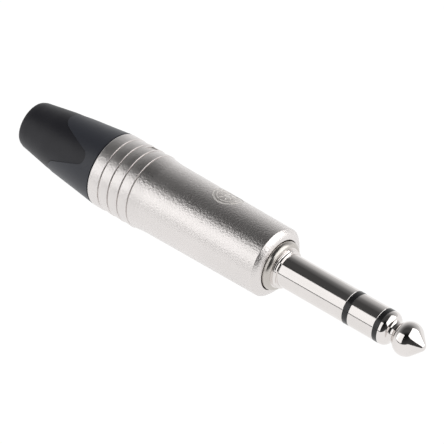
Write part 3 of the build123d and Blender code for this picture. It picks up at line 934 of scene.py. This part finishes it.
chuck_plastic = finish(
    "chuck_plastic",
    colour=(0.045, 0.045, 0.048), smudged=(0.036, 0.036, 0.038), worn_and_highlit=(0.08, 0.08, 0.085),
    metallic=0.0, roughness=0.40, spread=0.06, grain_size=0.3, grain_depth=0.004,
)

# %% [markdown]
# Each piece now gets its finish. The sleeve and the barrel have parts with finishes of their
# own, which take the places of the stand-ins from the modelling. The pieces inside the plug
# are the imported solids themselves, and get their materials directly.

# %% Dress the pieces
WHOLE_PIECES = {
    polished_tip: polished_nickel,
    polished_ring: polished_nickel,
    black_ring_front: black_insulator,
    black_ring_rear: black_insulator,
    screw_bushing: bushing_plastic,
    soft_boot: boot_rubber,
}
PARTED_PIECES = {
    polished_sleeve: [polished_nickel, brushed_nose_painted_reflection],
    barrel: [blasted_nickel, mark_field, etched_nickel],
}
CARRIED_NODES = {
    "inner_insulating_tube": pale_insulator,
    "outer_insulating_tube": pale_insulator,
    "front_insulating_washer": pale_insulator,
    "rear_insulating_washer": pale_insulator,
    "sleeve_terminal": tinned_tag,
    "ring_terminal": tinned_tag,
    "tip_terminal": tinned_tag,
    "insulating_liner": liner_plastic,
    "chuck": chuck_plastic,
}
for piece, material in WHOLE_PIECES.items():
    dress(piece, material)
for piece, materials in PARTED_PIECES.items():
    for number, material in enumerate(materials):
        piece.data.materials[number] = material
for name, material in CARRIED_NODES.items():
    dress(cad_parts[name], material)
print("dressed", len(WHOLE_PIECES) + len(PARTED_PIECES) + len(CARRIED_NODES), "pieces")

# %% [markdown]
# The plug lies on a white sweep. Its white comes from a share of plain glow that only the
# camera and the metal's reflections see, so no lamp has to be turned up for it, and the rest
# is matt paper that keeps the plug's soft shadow.

# %% White sweep
FLOOR_Z = SOLID_BOX[0].z
FLOOR_SIZE = 6
WHITE = (1, 1, 1, 1)
PAPER_COLOUR = (0.8, 0.8, 0.8, 1)
GLOW_STRENGTH = 1.07
GLOW_SHARE = 0.93

pick_only()
bpy.ops.mesh.primitive_plane_add(size=FLOOR_SIZE, location=(0, 0, FLOOR_Z))
floor = bpy.context.object
floor.name = "white_sweep"
floor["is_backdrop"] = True
sweep_material, sweep_tree = new_material("white_sweep")
light_path = add_node(sweep_tree, "ShaderNodeLightPath")
paper = add_node(sweep_tree, "ShaderNodeBsdfDiffuse", Color=PAPER_COLOUR)
glow = add_node(sweep_tree, "ShaderNodeEmission", Color=WHITE, Strength=GLOW_STRENGTH)
seen = add_node(sweep_tree, "ShaderNodeMath", operation="MAXIMUM")
sweep_tree.links.new(light_path.outputs["Is Camera Ray"], seen.inputs[0])
sweep_tree.links.new(light_path.outputs["Is Glossy Ray"], seen.inputs[1])
share = add_node(sweep_tree, "ShaderNodeMath", operation="MULTIPLY")
sweep_tree.links.new(seen.outputs[0], share.inputs[0])
share.inputs[1].default_value = GLOW_SHARE
mix = add_node(sweep_tree, "ShaderNodeMixShader")
output = add_node(sweep_tree, "ShaderNodeOutputMaterial")
for number, socket in enumerate((share.outputs[0], paper.outputs[0], glow.outputs[0])):
    sweep_tree.links.new(socket, mix.inputs[number])
sweep_tree.links.new(mix.outputs[0], output.inputs["Surface"])
dress(floor, sweep_material)
print("sweep lies at", round(FLOOR_Z / MM, 3), "mm")

# %% [markdown]
# Polished metal shows the room, so the room is drawn with care. It is brightest near the
# floor and darkens towards a patch overhead, which is the dark band between two bright ones
# on the finger. That patch leans a little forwards, so height is measured along a line that
# leans with it. The side behind the camera is kept dim, and the camera itself sees white.

# %% Room
ROOM_UP = (0, -0.1, 0.995)
ROOM_LEVELS = [
    (0.0, 0.75), (0.28, 0.556), (0.47, 0.404), (0.62, 0.218), (0.73, 0.145), (0.80, 0.115),
    (0.86, 0.066),
]
DIM_SIDE = (0.55, -0.83, 0)
DIM_FROM, DIM_TO = 0.0, 0.5
DIM_LEVEL = 0.08

world = bpy.data.worlds.new("studio")
bpy.context.scene.world = world
world.use_nodes = True
room_tree = world.node_tree
room_tree.nodes.clear()


def along(way):
    """How far a direction in the room points along this one."""
    direction = add_node(room_tree, "ShaderNodeTexCoord")
    made = add_node(room_tree, "ShaderNodeVectorMath", operation="DOT_PRODUCT")
    room_tree.links.new(direction.outputs["Generated"], made.inputs[0])
    made.inputs[1].default_value = way
    return made.outputs["Value"]


height = add_node(room_tree, "ShaderNodeValToRGB")
room_tree.links.new(along(ROOM_UP), height.inputs["Fac"])
steps = height.color_ramp.elements
steps.remove(steps[1])
steps[0].color = (*[ROOM_LEVELS[0][1]] * 3, 1)
for place, value in ROOM_LEVELS[1:]:
    steps.new(place).color = (value, value, value, 1)
dimmed = add_node(
    room_tree, "ShaderNodeMapRange", interpolation_type="SMOOTHSTEP",
    From_Min=DIM_FROM, From_Max=DIM_TO, To_Min=1, To_Max=DIM_LEVEL)
room_tree.links.new(along(DIM_SIDE), dimmed.inputs["Value"])
level = add_node(room_tree, "ShaderNodeMath", operation="MULTIPLY")
room_tree.links.new(height.outputs["Color"], level.inputs[0])
room_tree.links.new(dimmed.outputs["Result"], level.inputs[1])
room = add_node(room_tree, "ShaderNodeBackground", Color=WHITE)
room_tree.links.new(level.outputs[0], room.inputs["Strength"])
backdrop = add_node(room_tree, "ShaderNodeBackground", Color=WHITE, Strength=1)
light_path = add_node(room_tree, "ShaderNodeLightPath")
mix = add_node(room_tree, "ShaderNodeMixShader")
output = add_node(room_tree, "ShaderNodeOutputWorld")
mixed = (light_path.outputs["Is Camera Ray"], room.outputs[0], backdrop.outputs[0])
for number, socket in enumerate(mixed):
    room_tree.links.new(socket, mix.inputs[number])
room_tree.links.new(mix.outputs[0], output.inputs["Surface"])
print("room has", len(ROOM_LEVELS), "levels of grey")

# %% [markdown]
# Two soft boxes light the plug. The one at its front left gives the broad white streak along
# the metal, and its upper edge is what cuts that streak off sharply. The other, high at the
# back right, lights the faces that look forwards. Their light is given as the brightness that
# a mirror would show, and turned into watts by their area.

# %% Soft boxes


def soft_box(name, place, aim, width, depth, radiance):
    """Rectangular lamp whose face shows this radiance in a mirror."""
    data = bpy.data.lights.new(name, "AREA")
    data.shape = "RECTANGLE"
    data.size = width
    data.size_y = depth
    data.energy = radiance * pi * width * depth
    lamp = bpy.data.objects.new(name, data)
    lamp.location = place
    lamp.rotation_mode = "QUATERNION"
    lamp.rotation_quaternion = (Vector(aim) - Vector(place)).to_track_quat("-Z", "Y")
    lamp.visible_camera = False
    bpy.context.scene.collection.objects.link(lamp)
    print(name, "gives", round(data.energy, 2), "W")


soft_box("front_left_soft_box", place=(-0.7, -0.85, 0.53), aim=(-0.7, 0, 0),
         width=1.6, depth=1.04, radiance=1.16)
soft_box("right_soft_box", place=(0.751, 0.350, 0.559), aim=(0, 0, 0),
         width=1.3, depth=1.11, radiance=1.6)

# %% [markdown]
# At the end the box of the finished pieces is measured, and both boxes are written down. The
# finished plug may not be larger than its solids, because those are what fits a socket.

# %% Hand over
scene_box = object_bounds()
for corner in scene_box:
    print("corner of the finished box", [round(v / MM, 2) for v in corner])
